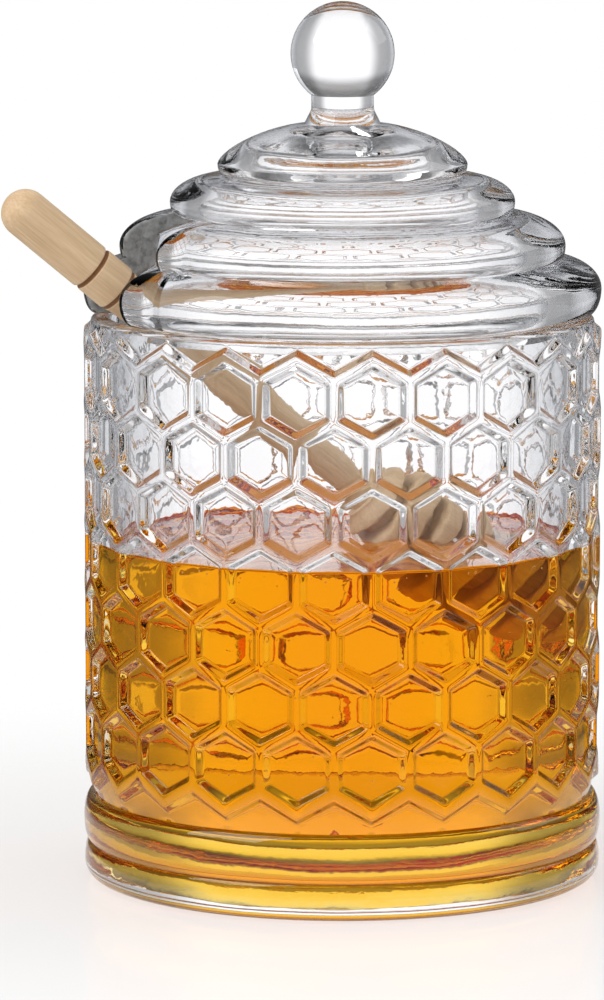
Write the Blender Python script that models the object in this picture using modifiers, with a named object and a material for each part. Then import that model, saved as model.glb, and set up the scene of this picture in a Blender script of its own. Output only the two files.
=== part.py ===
"""Honey jar of pressed glass with a beehive lid, honey inside and a wooden dipper.

Run with blender --background --python part.py, or from Blender's text editor.
Lengths are in metres and +Z is up. The origin is the centre of the jar's underside.
Angles round the jar start at its front, which faces -Y, and grow towards +X.
"""
import math

import bmesh
import bpy
from mathutils import Matrix, Vector

MM = 0.001

# Honeycomb band of the jar
COLUMNS = 22
ROWS = 7
RIDGE_RADIUS = 47.5 * MM
RELIEF_DEPTH = 1.35 * MM
RIDGE_TOP_WIDTH = 1.4 * MM
RIDGE_FOOT_WIDTH = 3.25 * MM
LOWER_BORDER_EXTRA = 0.7 * MM
ROW_PITCH = 11.02 * MM
CELL_HALF_HEIGHT = 7.35 * MM
LOWEST_ROW_HEIGHT = 27.4 * MM
COLUMN_TURN = math.radians(6.5)

# Half a column measured round the jar, and how steeply the hexagons' slanted sides rise
HALF_COLUMN = RIDGE_RADIUS * math.pi / COLUMNS
SLANT = (2.0 * CELL_HALF_HEIGHT - ROW_PITCH) / HALF_COLUMN
RISE_PER_INSET = math.hypot(1.0, SLANT)

# Jar below and above the honeycomb
PLAIN_RADIUS = RIDGE_RADIUS - RELIEF_DEPTH
WAIST_RADIUS = 45.9 * MM
WAIST_HEIGHT = 15.8 * MM
UPPER_HOOP_RADIUS = 47.8 * MM
UPPER_HOOP_HEIGHT = 11.3 * MM
HOOP_GROOVE_RADIUS = 46.7 * MM
HOOP_GROOVE_HEIGHT = 6.9 * MM
LOWER_HOOP_RADIUS = 47.7 * MM
LOWER_HOOP_HEIGHT = 3.0 * MM
FOOT_RADIUS = 45.0 * MM
SHOULDER_HEIGHT = 103.1 * MM
RIM_HEIGHT = 103.9 * MM
RIM_OUTER_RADIUS = 44.9 * MM
MOUTH_RADIUS = 42.4 * MM
MOUTH_ROUNDING = 0.7 * MM
INNER_LOW_RADIUS = 41.6 * MM
INNER_CORNER = 6.0 * MM
GLASS_FLOOR = 5.0 * MM

# Honey
HONEY_LEVEL = 62.1 * MM
GAP = 0.35 * MM

# Lid: each tier is the crease it starts from and its widest point
LID_BOTTOM = 104.3 * MM
LID_TOP = 161.3 * MM
KNOB_RADIUS = 9.5 * MM
NECK_RADIUS = 5.7 * MM
NECK_FOOT_HEIGHT = 141.6 * MM
COLLAR_RADIUS = 7.0 * MM
COLLAR_HEIGHT = 139.0 * MM
TIER_WIDEST = (
    (22.86 * MM, 131.7 * MM),
    (31.58 * MM, 124.8 * MM),
    (40.84 * MM, 116.8 * MM),
    (47.46 * MM, 109.0 * MM),
)
TIER_CREASE = (
    (21.9 * MM, 129.7 * MM),
    (30.6 * MM, 122.6 * MM),
    (40.0 * MM, 114.3 * MM),
    (45.0 * MM, LID_BOTTOM),
)
TOP_TIER_POWER = 1.5
SPIGOT_RADIUS = 41.3 * MM
SPIGOT_BOTTOM = 101.2 * MM
LID_HOLLOW = (
    (38.6 * MM, SPIGOT_BOTTOM),
    (37.8 * MM, 110.6 * MM),
    (34.2 * MM, 112.8 * MM),
    (33.4 * MM, 118.6 * MM),
    (26.6 * MM, 120.8 * MM),
    (25.8 * MM, 126.0 * MM),
    (17.6 * MM, 128.0 * MM),
    (15.6 * MM, 131.8 * MM),
    (9.0 * MM, 133.9 * MM),
    (0.0, 134.4 * MM),
)

# Notch in the lid for the dipper
NOTCH_HALF_WIDTH = 10.5 * MM
NOTCH_TOP = 122.9 * MM
NOTCH_BOTTOM = 95.0 * MM
NOTCH_INNER = 20.0 * MM
NOTCH_OUTER = 60.0 * MM

# Dipper: distances run along it from the end of the handle
DIPPER_TURN = math.radians(198.0)
DIPPER_SLOPE = math.radians(39.8)
DIPPER_REACH = 63.4 * MM
DIPPER_END_HEIGHT = 127.05 * MM
DIPPER_LENGTH = 124.9 * MM
HANDLE_RADIUS = 4.42 * MM
HANDLE_GROOVES = (20.4 * MM, 26.8 * MM)
HANDLE_GROOVE_WIDTH = 1.3 * MM
HANDLE_GROOVE_DEPTH = 0.6 * MM
SHAFT_RADIUS = 3.9 * MM
SHAFT_LOW_RADIUS = 3.2 * MM
HEAD_START = 86.9 * MM
HEAD_RADIUS = 10.8 * MM
HEAD_POWER = 2.6
HEAD_CORE_RADIUS = 5.2 * MM
HEAD_DISCS = 6
HEAD_SLOT_WIDTH = 2.4 * MM
END_EASE = 0.12

# Facets round each turned piece, and steps along a rib, a corner and the knob
JAR_FACETS = 2 * COLUMNS
LID_FACETS = 44
DIPPER_FACETS = 20
RIB_STEPS = 3
TOP_TIER_STEPS = 4
UNDERCUT_STEPS = 2
EDGE_STEPS = 2
HANDLE_END_STEPS = 4
KNOB_STEPS = 7

# Edges sharper than this stay crisp, and points nearer than this are one point
CRISP_ANGLE = math.radians(30.0)
SAME_POINT = 0.01 * MM


def clear_scene():
    """Remove what the scene holds before the model is made."""
    for thing in list(bpy.data.objects):
        bpy.data.objects.remove(thing, do_unlink=True)


def new_collection(name):
    """Make a collection in the scene."""
    group = bpy.data.collections.new(name)
    bpy.context.scene.collection.children.link(group)
    return group


def finish(name, colour, roughness, see_through=0.0):
    """Make a material with one Principled shader."""
    material = bpy.data.materials.new(name)
    material.use_nodes = True
    shader = material.node_tree.nodes["Principled BSDF"]
    shader.inputs["Base Color"].default_value = (*colour, 1.0)
    shader.inputs["Roughness"].default_value = roughness
    shader.inputs["Metallic"].default_value = 0.0
    shader.inputs["Transmission Weight"].default_value = see_through
    return material


def round_point(angle, radius, height):
    """Point on a ring round the jar's axis."""
    return Vector((radius * math.sin(angle), -radius * math.cos(angle), height))


def quarter(level, upright, steps, power=2.0):
    """Points of a quarter superellipse, level at its first point and upright at its last."""
    points = []
    for step in range(steps + 1):
        turn = 0.5 * math.pi * step / steps
        across = math.sin(turn) ** (2.0 / power)
        down = max(math.cos(turn), 0.0) ** (2.0 / power)
        radius = level[0] + (upright[0] - level[0]) * across
        height = upright[1] + (level[1] - upright[1]) * down
        points.append((radius, height))
    return points


def bulge(above, widest, below, steps, power=2.0):
    """Points of a rounded rib from the crease above it, by its widest point, to the crease below."""
    upper = quarter(above, widest, steps, power)
    lower = quarter(below, widest, UNDERCUT_STEPS)
    return upper + lower[::-1][1:]


def cell_outline(inset):
    """Six corners of a hexagon drawn in evenly by an inset, as half columns and height."""
    across = 1.0 - inset / HALF_COLUMN
    peak = CELL_HALF_HEIGHT - inset * RISE_PER_INSET
    side = peak - SLANT * (HALF_COLUMN - inset)
    return (
        (0.0, -peak),
        (across, -side),
        (across, side),
        (0.0, peak),
        (-across, side),
        (-across, -side),
    )


def honeycomb_sheet(bm):
    """Wrap rows of sunk hexagons round the jar, sharing the middle of the ridge between them."""
    half_step = math.pi / COLUMNS
    middle_line = cell_outline(0.0)
    ridge_edge = cell_outline(0.5 * RIDGE_TOP_WIDTH)
    ridge_foot = cell_outline(0.5 * RIDGE_FOOT_WIDTH)
    shared = {}

    def corner(half_steps, height, radius):
        return bm.verts.new(round_point(COLUMN_TURN + half_steps * half_step, radius, height))

    def shared_corner(half_steps, height):
        key = (round(half_steps) % (2 * COLUMNS), round(height / SAME_POINT))
        if key not in shared:
            shared[key] = corner(half_steps, height, RIDGE_RADIUS)
        return shared[key]

    for row in range(ROWS):
        level = LOWEST_ROW_HEIGHT + row * ROW_PITCH
        for column in range(COLUMNS):
            middle = 2 * column + row % 2
            outer = [shared_corner(middle + across, level + up) for across, up in middle_line]
            edge = [corner(middle + across, level + up, RIDGE_RADIUS) for across, up in ridge_edge]
            foot = [corner(middle + across, level + up, PLAIN_RADIUS) for across, up in ridge_foot]
            for outside, inside in ((outer, edge), (edge, foot)):
                for side in range(6):
                    after = (side + 1) % 6
                    bm.faces.new((outside[side], outside[after], inside[after], inside[side]))
            bm.faces.new(foot[:4])
            bm.faces.new(foot[3:] + foot[:1])


def carry_on(bm, loop, place):
    """Extrude a closed loop of edges and put its new points where place(angle, height) says."""
    grown = bmesh.ops.extrude_edge_only(bm, edges=loop)["geom"]
    points = [item for item in grown if isinstance(item, bmesh.types.BMVert)]
    new_points = set(points)
    for point in points:
        angle = math.atan2(point.co.x, -point.co.y)
        point.co = place(angle, point.co.z)
    edges = [item for item in grown if isinstance(item, bmesh.types.BMEdge)]
    return [edge for edge in edges if set(edge.verts) <= new_points]


def zigzag_ring(bm, loop, radius, rise):
    """Carry a zigzag loop on to a radius, raised all round by the same amount."""
    return carry_on(bm, loop, lambda angle, height: round_point(angle, radius, height + rise))


def plain_rings(bm, loop, profile):
    """Carry a loop on through level rings, given as radius and height."""
    for radius, level in profile:
        loop = carry_on(bm, loop, lambda angle, height: round_point(angle, radius, level))
    return loop


def inside_profile(gap):
    """Wall, corner and floor of the jar's inside, drawn in by a gap."""
    low = (INNER_LOW_RADIUS - gap, GLASS_FLOOR + INNER_CORNER)
    floor = (INNER_LOW_RADIUS - INNER_CORNER, GLASS_FLOOR + gap)
    return quarter(floor, low, RIB_STEPS)[::-1]


def make_jar(material, group):
    """Loft the jar from its honeycomb band: up over the rim and inside, and down to the foot."""
    bm = bmesh.new()
    honeycomb_sheet(bm)
    middle_height = LOWEST_ROW_HEIGHT + 0.5 * (ROWS - 1) * ROW_PITCH
    border = [edge for edge in bm.edges if edge.is_boundary]
    top = [edge for edge in border if edge.verts[0].co.z > middle_height]
    bottom = [edge for edge in border if edge.verts[0].co.z < middle_height]

    ridge_rise = 0.5 * RIDGE_TOP_WIDTH * RISE_PER_INSET
    slope_rise = 0.5 * (RIDGE_FOOT_WIDTH - RIDGE_TOP_WIDTH) * RISE_PER_INSET

    top = zigzag_ring(bm, top, RIDGE_RADIUS, ridge_rise)
    top = zigzag_ring(bm, top, PLAIN_RADIUS, slope_rise)
    shoulder = (PLAIN_RADIUS, SHOULDER_HEIGHT)
    rim_outer = (RIM_OUTER_RADIUS, RIM_HEIGHT)
    rim_inner = (MOUTH_RADIUS + MOUTH_ROUNDING, RIM_HEIGHT)
    mouth = (MOUTH_RADIUS, RIM_HEIGHT - MOUTH_ROUNDING)
    rim = quarter(rim_outer, shoulder, EDGE_STEPS)[::-1] + quarter(rim_inner, mouth, EDGE_STEPS)
    top = plain_rings(bm, top, rim + inside_profile(0.0))
    bmesh.ops.contextual_create(bm, geom=top)

    bottom = zigzag_ring(bm, bottom, RIDGE_RADIUS, -ridge_rise - LOWER_BORDER_EXTRA)
    bottom = zigzag_ring(bm, bottom, PLAIN_RADIUS, -slope_rise)
    waist = (WAIST_RADIUS, WAIST_HEIGHT)
    groove = (HOOP_GROOVE_RADIUS, HOOP_GROOVE_HEIGHT)
    foot = (FOOT_RADIUS, 0.0)
    upper_hoop = bulge(waist, (UPPER_HOOP_RADIUS, UPPER_HOOP_HEIGHT), groove, RIB_STEPS)
    lower_hoop = bulge(groove, (LOWER_HOOP_RADIUS, LOWER_HOOP_HEIGHT), foot, RIB_STEPS)
    bottom = plain_rings(bm, bottom, upper_hoop + lower_hoop[1:])
    bmesh.ops.contextual_create(bm, geom=bottom)

    bmesh.ops.recalc_face_normals(bm, faces=bm.faces[:])
    mesh = bpy.data.meshes.new("jar")
    bm.to_mesh(mesh)
    bm.free()
    mesh.shade_smooth()
    mesh.set_sharp_from_angle(angle=CRISP_ANGLE)
    jar = bpy.data.objects.new("jar", mesh)
    jar.data.materials.append(material)
    group.objects.link(jar)
    return jar


def turned_piece(name, profile, facets, group):
    """Turn a profile, given as radius and height from the top down, round the Z axis."""
    points = [(radius, 0.0, height) for radius, height in profile]
    edges = [(index, index + 1) for index in range(len(points) - 1)]
    mesh = bpy.data.meshes.new(name)
    mesh.from_pydata(points, edges, [])
    piece = bpy.data.objects.new(name, mesh)
    group.objects.link(piece)
    screw = piece.modifiers.new("turn", "SCREW")
    screw.steps = facets
    screw.render_steps = facets
    screw.use_merge_vertices = True
    screw.merge_threshold = SAME_POINT
    screw.use_smooth_shade = True
    return piece


def cut(piece, cutter):
    """Take a cutter out of a piece and keep the cutter out of sight."""
    boolean = piece.modifiers.new("cut " + cutter.name, "BOOLEAN")
    boolean.operation = "DIFFERENCE"
    boolean.solver = "EXACT"
    boolean.object = cutter
    cutter.hide_render = True
    cutter.display_type = "WIRE"


def lid_profile():
    """Outside of the lid from the top of the knob to the spigot, then the hollow back up."""
    knob_middle = LID_TOP - KNOB_RADIUS
    neck_turn = math.pi - math.asin(NECK_RADIUS / KNOB_RADIUS)
    profile = []
    for step in range(KNOB_STEPS + 1):
        turn = neck_turn * step / KNOB_STEPS
        profile.append((KNOB_RADIUS * math.sin(turn), knob_middle + KNOB_RADIUS * math.cos(turn)))
    profile.append((NECK_RADIUS, NECK_FOOT_HEIGHT))
    collar = (COLLAR_RADIUS, COLLAR_HEIGHT)
    profile += bulge(collar, TIER_WIDEST[0], TIER_CREASE[0], TOP_TIER_STEPS, TOP_TIER_POWER)
    for tier in range(1, len(TIER_WIDEST)):
        crease = TIER_CREASE[tier - 1]
        profile += bulge(crease, TIER_WIDEST[tier], TIER_CREASE[tier], RIB_STEPS)[1:]
    profile.append((SPIGOT_RADIUS, LID_BOTTOM))
    profile.append((SPIGOT_RADIUS, SPIGOT_BOTTOM))
    return profile + list(LID_HOLLOW)


def make_lid(material, group, cutters):
    """Turn the lid with its knob and cut the notch that the dipper's handle lies in."""
    lid = turned_piece("lid", lid_profile(), LID_FACETS, group)
    lid.data.materials.append(material)
    length = NOTCH_OUTER - NOTCH_INNER
    height = NOTCH_TOP - NOTCH_BOTTOM
    out = 0.5 * (NOTCH_OUTER + NOTCH_INNER)
    bpy.ops.mesh.primitive_cube_add(size=1.0)
    notch = bpy.context.object
    notch.name = "notch cutter"
    notch.data.transform(Matrix.Diagonal((length, 2.0 * NOTCH_HALF_WIDTH, height, 1.0)))
    notch.location = (
        out * math.cos(DIPPER_TURN),
        out * math.sin(DIPPER_TURN),
        0.5 * (NOTCH_TOP + NOTCH_BOTTOM),
    )
    notch.rotation_euler = (0.0, 0.0, DIPPER_TURN)
    for holder in list(notch.users_collection):
        holder.objects.unlink(notch)
    cutters.objects.link(notch)
    cut(lid, notch)
    return lid


def head_radius(along):
    """Outer radius of the dipper's head at a distance from the end of the handle."""
    middle = 0.5 * (HEAD_START + DIPPER_LENGTH)
    share = abs(along - middle) / (DIPPER_LENGTH - middle)
    return HEAD_RADIUS * (1.0 - min(share, 1.0) ** HEAD_POWER) ** (1.0 / HEAD_POWER)


def disc_outline(disc):
    """Three points of one disc's rim, as radius and distance along the dipper."""
    length = DIPPER_LENGTH - HEAD_START
    disc_width = (length - (HEAD_DISCS - 1) * HEAD_SLOT_WIDTH) / HEAD_DISCS
    near = HEAD_START + disc * (disc_width + HEAD_SLOT_WIDTH)
    far = near + disc_width
    first = near + END_EASE * disc_width if disc == 0 else near
    last = far - END_EASE * disc_width if disc == HEAD_DISCS - 1 else far
    return [(head_radius(along), along) for along in (first, 0.5 * (near + far), last)]


def dipper_profile():
    """Rounded handle with two grooves, a tapering shaft and a head of discs on a core."""
    profile = quarter((0.0, 0.0), (HANDLE_RADIUS, HANDLE_RADIUS), HANDLE_END_STEPS)
    for place in HANDLE_GROOVES:
        profile.append((HANDLE_RADIUS, place - 0.5 * HANDLE_GROOVE_WIDTH))
        profile.append((HANDLE_RADIUS - HANDLE_GROOVE_DEPTH, place))
        profile.append((HANDLE_RADIUS, place + 0.5 * HANDLE_GROOVE_WIDTH))
    profile[-1] = (SHAFT_RADIUS, profile[-1][1])
    profile.append((SHAFT_LOW_RADIUS, HEAD_START))
    for disc in range(HEAD_DISCS):
        if disc > 0:
            profile.append((HEAD_CORE_RADIUS, profile[-1][1]))
            profile.append((HEAD_CORE_RADIUS, disc_outline(disc)[0][1]))
        profile += disc_outline(disc)
    profile.append((0.0, DIPPER_LENGTH))
    return [(radius, -along) for radius, along in profile]


def room_profile():
    """Outline of the dipper's lower end without its slots, larger all round by the gap."""
    shaft = SHAFT_RADIUS + GAP
    profile = [(0.0, 0.5 * HEAD_START), (shaft, 0.5 * HEAD_START), (shaft, HEAD_START - GAP)]
    for disc in range(HEAD_DISCS):
        profile += [(radius + GAP, along) for radius, along in disc_outline(disc)]
    profile[3] = (profile[3][0], profile[3][1] - GAP)
    profile[-1] = (profile[-1][0], profile[-1][1] + GAP)
    profile.append((0.0, DIPPER_LENGTH + GAP))
    return [(radius, -along) for radius, along in profile]


def lean(piece):
    """Lay a piece along the dipper's line, with its origin at the end of the handle."""
    piece.location = (
        DIPPER_REACH * math.cos(DIPPER_TURN),
        DIPPER_REACH * math.sin(DIPPER_TURN),
        DIPPER_END_HEIGHT,
    )
    piece.rotation_euler = (0.0, 0.5 * math.pi - DIPPER_SLOPE, DIPPER_TURN)


def make_dipper(material, group):
    """Turn the dipper and lean it in the jar."""
    dipper = turned_piece("dipper", dipper_profile(), DIPPER_FACETS, group)
    dipper.data.materials.append(material)
    lean(dipper)
    return dipper


def make_honey(material, group, cutters):
    """Fill the jar up to the honey's level and leave room for the dipper's head."""
    inside = inside_profile(GAP)
    profile = [(0.0, HONEY_LEVEL), (inside[0][0], HONEY_LEVEL)] + inside
    profile.append((0.0, inside[-1][1]))
    honey = turned_piece("honey", profile, JAR_FACETS, group)
    honey.data.materials.append(material)

    cutter = turned_piece("dipper room", room_profile(), DIPPER_FACETS, cutters)
    lean(cutter)
    cut(honey, cutter)
    return honey


def main():
    """Make the four pieces of the honey pot."""
    clear_scene()
    group = new_collection("Honey pot with dipper")
    cutters = new_collection("Cutters")
    glass = finish("clear glass", (0.95, 0.96, 0.97), 0.02, 1.0)
    honey_finish = finish("honey", (0.90, 0.45, 0.03), 0.05, 0.6)
    wood = finish("pale wood", (0.78, 0.58, 0.36), 0.55)
    make_jar(glass, group)
    make_lid(glass, group, cutters)
    make_honey(honey_finish, group, cutters)
    make_dipper(wood, group)


main()
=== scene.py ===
# %% [markdown]
# # A honey pot of pressed glass
# The pot is a clear glass jar covered in sunk hexagons, a stepped glass lid with a ball knob, honey
# inside, and a wooden dipper that leans out through a notch in the lid. The solids that carry it
# are loaded first. Four pieces made here stand in for them and keep their form, but with a finer
# surface and a finish that behaves like the real one. The bubbles in the honey are added.

# %% Load the solids
import math

import bmesh
import bpy
import numpy as np
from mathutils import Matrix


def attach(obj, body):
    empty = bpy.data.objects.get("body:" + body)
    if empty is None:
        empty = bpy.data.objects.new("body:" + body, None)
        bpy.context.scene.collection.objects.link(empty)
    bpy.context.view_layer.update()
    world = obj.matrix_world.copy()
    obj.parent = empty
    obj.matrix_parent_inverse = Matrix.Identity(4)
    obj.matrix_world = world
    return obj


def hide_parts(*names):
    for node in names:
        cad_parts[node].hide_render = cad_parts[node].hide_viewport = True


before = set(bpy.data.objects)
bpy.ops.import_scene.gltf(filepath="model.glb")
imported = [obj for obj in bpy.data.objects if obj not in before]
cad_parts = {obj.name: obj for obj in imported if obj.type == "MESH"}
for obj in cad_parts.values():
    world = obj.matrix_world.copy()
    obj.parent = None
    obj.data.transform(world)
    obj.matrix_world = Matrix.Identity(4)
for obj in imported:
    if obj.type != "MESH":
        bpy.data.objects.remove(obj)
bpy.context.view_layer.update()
MM = 0.001
print("solids:", sorted(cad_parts))

# %% [markdown]
# ## The camera
# A long lens from over a metre away keeps the jar's sides nearly upright, as a product photograph
# does. The camera looks down by eight degrees, so the foot shows as a shallow ellipse. It is placed
# first because everything that follows is judged through it.

# %% Camera
LOOKS_DOWN = 0.1414
LOOKS_ASIDE = 0.0066

camera_data = bpy.data.cameras.new("camera")
camera_data.lens = 221.42
camera_data.sensor_width = 36.0
camera = bpy.data.objects.new("camera", camera_data)
camera.location = (0.0, -1.12174, 0.2292)
camera.rotation_euler = (0.5 * math.pi - LOOKS_DOWN, 0.0, LOOKS_ASIDE)
bpy.context.scene.collection.objects.link(camera)
bpy.context.scene.camera = camera
print("camera looks down by", round(math.degrees(LOOKS_DOWN), 1), "degrees")

# %% [markdown]
# ## From a grid of numbers to a mesh
# Each surface here is a grid of points: rows run along a profile and columns run round the piece.
# Four neighbours make a face. Grids that touch have points in the same place, so the points are
# rounded to a tenth of a micrometre and equal ones become one point. A face that loses a corner at
# a pole becomes a triangle. This keeps seams and poles closed, which glass needs, because light has
# to know when it is inside. Edges sharper than fifty degrees stay crisp.

# %% Grids, welding and pieces
CRISP = math.radians(50.0)


def grid_faces(rows, columns, ring=True):
    """Faces of a grid of points: each joins a point to the next in its row and in its column."""
    index = np.arange(rows * columns).reshape(rows, columns)
    if ring:
        index = np.concatenate((index, index[:, :1]), axis=1)
    corners = (index[:-1, :-1], index[:-1, 1:], index[1:, 1:], index[1:, :-1])
    return np.stack(corners, axis=-1).reshape(-1, 4)


def join(parts):
    """Put several (points, faces) pairs in one pair, with the faces' numbers moved on."""
    starts = np.cumsum([0] + [len(points) for points, faces in parts[:-1]])
    points = np.concatenate([part[0] for part in parts])
    faces = np.concatenate([part[1] + start for part, start in zip(parts, starts)])
    return points, faces


def weld(points, faces):
    """Make equal points one point, and sort the faces into quads and triangles."""
    rounded = np.round(points / (0.0001 * MM)).astype(np.int64)
    first, number = np.unique(rounded, axis=0, return_index=True, return_inverse=True)[1:]
    faces = number.reshape(-1)[faces]
    same = faces == np.roll(faces, -1, axis=1)
    quads = faces[same.sum(axis=1) == 0]
    cornered = faces[same.sum(axis=1) == 1]
    keep = ~same[same.sum(axis=1) == 1]
    triangles = cornered[keep].reshape(-1, 3)
    return points[first], quads, triangles


def make_piece(name, parts, stands_for=()):
    """Weld the grids into one smooth mesh, turn its faces outwards and set it on the frame."""
    points, quads, triangles = weld(*join(parts))
    mesh = bpy.data.meshes.new(name)
    mesh.from_pydata(points.tolist(), [], quads.tolist() + triangles.tolist())
    bm = bmesh.new()
    bm.from_mesh(mesh)
    bmesh.ops.recalc_face_normals(bm, faces=bm.faces[:])
    open_edges = sum(not edge.is_manifold for edge in bm.edges)
    volume = bm.calc_volume(signed=True)
    bm.to_mesh(mesh)
    bm.free()
    mesh.shade_smooth()
    mesh.set_sharp_from_angle(angle=CRISP)
    piece = bpy.data.objects.new(name, mesh)
    bpy.context.scene.collection.objects.link(piece)
    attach(piece, "root")
    if stands_for:
        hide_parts(*stands_for)
    count = 2 * len(quads) + len(triangles)
    print(name, count, "triangles, open edges", open_edges, "volume cm3", round(1e6 * volume, 1))
    return piece


# %% [markdown]
# ## Profiles
# Turned and pressed pieces are drawn as half a section: a list of radius and height. A rib is two
# quarter ovals that meet at its widest point. Where a mould leaves a soft inside corner, the
# section is walked at even steps and averaged over a short window, as if the corner had been worn.

# %% Profile helpers
def quarter(level, upright, steps, power=2.0):
    """Quarter oval, level where it starts: across grows as sine and height falls as cosine,
    each to the power 2 / power."""
    turn = np.linspace(0.0, 0.5 * np.pi, steps + 1)
    across = np.sin(turn) ** (2.0 / power)
    down = np.abs(np.cos(turn)) ** (2.0 / power)
    down[-1] = 0.0
    radius = level[0] + (upright[0] - level[0]) * across
    height = upright[1] + (level[1] - upright[1]) * down
    return np.column_stack((radius, height))


def rib(above, widest, below, steps, power=2.0):
    """Quarter oval from the crease above to the widest point, and another to the one below."""
    upper = quarter(above, widest, steps, power)
    lower = quarter(below, widest, steps)[::-1]
    return np.concatenate((upper, lower[1:]))


def walk(points, count):
    """Points at even distances along a line: distance is the running sum of the steps' lengths."""
    points = np.asarray(points, float)
    along = np.concatenate(([0.0], np.cumsum(np.hypot(*np.diff(points, axis=0).T))))
    places = np.linspace(0.0, along[-1], count)
    return np.column_stack([np.interp(places, along, points[:, axis]) for axis in (0, 1)])


def wear(points, count, width):
    """Round a line's corners: average each evenly spaced point with those within the width. The
    line is carried on past both ends as its own mirror image, so that the ends stay in place."""
    fine = walk(points, 1200)
    step = np.hypot(*(fine[1] - fine[0]))
    half = max(int(0.5 * width / step), 1)
    before = 2 * fine[0] - fine[half:0:-1]
    after = 2 * fine[-1] - fine[-2:-half - 2:-1]
    padded = np.concatenate((before, fine, after))
    window = np.hanning(2 * half + 3)[1:-1]
    window /= window.sum()
    soft = [np.convolve(padded[:, axis], window, mode="valid") for axis in (0, 1)]
    return walk(np.column_stack(soft), count)


def turned(profile, angles):
    """Surface of a turned piece: x is radius times sine, and y is minus radius times cosine."""
    radius, height = profile[:, :1], profile[:, 1:]
    x = radius * np.sin(angles)
    y = -radius * np.cos(angles)
    z = height + 0.0 * angles
    return np.stack((x, y, z), axis=-1).reshape(-1, 3), grid_faces(len(profile), len(angles))


print("a rib of four steps has", len(rib((1, 1), (2, 0), (1, -1), 4)), "points")

# %% [markdown]
# ## The honeycomb
# The jar's wall is pressed in a mould whose raised cells leave sunk hexagons with flat floors
# and sloping sides. A plain grid of squares would cut the slanted ridges into steps, so each
# hexagon gets rings of its own that shrink evenly towards its middle. The outermost ring is shared
# with the neighbours, in the middle of the ridge. Depth is a straight ramp with both its corners
# rounded.

# %% Hexagon rings
COLUMNS = 22
ROWS = 7
RIDGE_RADIUS = 47.5 * MM
RELIEF_DEPTH = 1.35 * MM
HALF_TOP = 0.7 * MM
HALF_FOOT = 1.625 * MM
ROUNDING = 0.15 * MM
ROW_PITCH = 11.02 * MM
CELL_HALF_HEIGHT = 7.35 * MM
LOWEST_ROW = 27.4 * MM
COLUMN_TURN = math.radians(6.5)
HALF_STEP = math.pi / COLUMNS
HALF_COLUMN = RIDGE_RADIUS * HALF_STEP
SLANT = (2.0 * CELL_HALF_HEIGHT - ROW_PITCH) / HALF_COLUMN
RISE_PER_INSET = math.hypot(1.0, SLANT)
SIDE_SHARES = np.array((0.0, 0.06, 0.17, 0.5, 0.83, 0.94))
INSETS = np.array((0.0, 0.40, 0.57, 0.70, 0.83, 1.0, 1.30, 1.50, 1.62, 1.75, 1.95, 3.2, 5.0)) * MM


def soft_ramp(distance):
    """Nought before nought and the distance itself after it, with the corner rounded."""
    return 0.5 * (distance + np.sqrt(distance ** 2 + ROUNDING ** 2))


def relief(inset):
    """Depth below the ridge's top: a ramp that starts at the top's edge, less one from its foot."""
    steepness = RELIEF_DEPTH / (HALF_FOOT - HALF_TOP)
    return steepness * (soft_ramp(inset - HALF_TOP) - soft_ramp(inset - HALF_FOOT))


def hexagon(inset):
    """Outline of a hexagon drawn in by an inset, as half columns across and metres up."""
    across = 1.0 - inset / HALF_COLUMN
    peak = CELL_HALF_HEIGHT - inset * RISE_PER_INSET
    side = peak - SLANT * (HALF_COLUMN - inset)
    corners = np.array(
        ((0, -peak), (across, -side), (across, side), (0, peak), (-across, side), (-across, -side))
    )
    steps = np.roll(corners, -1, axis=0) - corners
    return (corners[:, None] + steps[:, None] * SIDE_SHARES[:, None]).reshape(-1, 2)


def ease_corners(outline, amount):
    """Pull each point towards the middle of its two neighbours, which rounds the corners."""
    middle = 0.5 * (np.roll(outline, 1, axis=0) + np.roll(outline, -1, axis=0))
    at_corner = (np.arange(len(outline)) % len(SIDE_SHARES) == 0)[:, None]
    return np.where(at_corner, outline + amount * (middle - outline), outline)


def honeycomb():
    """All the hexagons at once: rings of one cell, copied to each row and column and wrapped
    round the jar at the ridge's radius less the relief."""
    ease = np.where(INSETS == 0.0, 0.0, np.clip(0.9 - INSETS / (3.0 * MM), 0.25, 0.9))
    rings = np.array([ease_corners(hexagon(inset), amount) for inset, amount in zip(INSETS, ease)])
    rings = np.concatenate((rings, np.zeros_like(rings[:1])))
    depth = np.concatenate((relief(INSETS), relief(INSETS[-1:])))
    depth[0] = 0.0
    row, column = (item.reshape(-1, 1, 1) for item in np.indices((ROWS, COLUMNS)))
    half_steps = 2 * column + row % 2 + rings[None, :, :, 0]
    angle = COLUMN_TURN + half_steps * HALF_STEP
    height = LOWEST_ROW + row * ROW_PITCH + rings[None, :, :, 1]
    radius = RIDGE_RADIUS - depth[None, :, None] + 0.0 * angle
    points = np.stack((radius * np.sin(angle), -radius * np.cos(angle), height), axis=-1)
    one = grid_faces(len(rings), rings.shape[1])
    per_cell = rings.shape[0] * rings.shape[1]
    faces = one[None] + per_cell * np.arange(ROWS * COLUMNS)[:, None, None]
    return points.reshape(-1, 3), faces.reshape(-1, 4)


comb = honeycomb()
print("hexagons:", ROWS * COLUMNS, "with", len(comb[1]), "faces")

# %% [markdown]
# ## The jar
# Above the top row and below the bottom row the ridge runs round as a zigzag. The jar carries on
# from those two zigzags. Upwards it goes over the shoulder and the thick rim and down the smooth
# inside. Downwards it goes by a waist and two hoops to the foot. The jar is one closed wall,
# because light bends twice at real glass, once going in and once coming out.

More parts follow.
